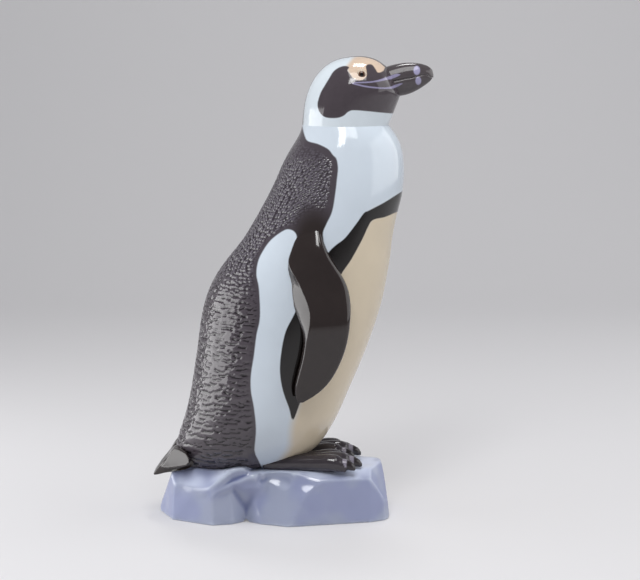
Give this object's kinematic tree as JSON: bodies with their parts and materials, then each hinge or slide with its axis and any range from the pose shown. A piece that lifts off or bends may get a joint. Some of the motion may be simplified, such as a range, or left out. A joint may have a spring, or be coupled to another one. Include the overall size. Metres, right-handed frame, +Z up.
{
  "type": "penguin figurine",
  "caption": "Standing penguin figurine in glossy painted porcelain on a faceted block of ice, a free-standing ornament with a flat foot rim.",
  "frame": {"origin": "middle of the whole figure's outline in plan, on the surface that the foot rim stands on", "axes": "+X the way the bird faces, +Y the bird's left, +Z up"},
  "size_m": [0.1818, 0.1134, 0.2998],
  "materials": {
    "ice_glaze": "glossy clear glaze over a pale lilac-blue body colour",
    "plumage_glaze": "glossy clear glaze over underglaze plumage painting",
    "horn_glaze": "glossy clear glaze over dark grey underglaze",
    "flipper_glaze": "glossy clear glaze over dark brown-grey underglaze",
    "eye_glaze": "glossy clear glaze over dark brown underglaze"
  },
  "bodies": {
    "root": {"rock_base": "ice_glaze", "body_shell": "plumage_glaze", "head_shell": "plumage_glaze", "upper_bill": "horn_glaze", "lower_bill": "horn_glaze", "right_eye": "eye_glaze", "left_eye": "eye_glaze", "right_flipper": "flipper_glaze", "left_flipper": "flipper_glaze", "tail": "flipper_glaze", "right_foot": "horn_glaze", "left_foot": "horn_glaze"}
  },
  "joints": []
}
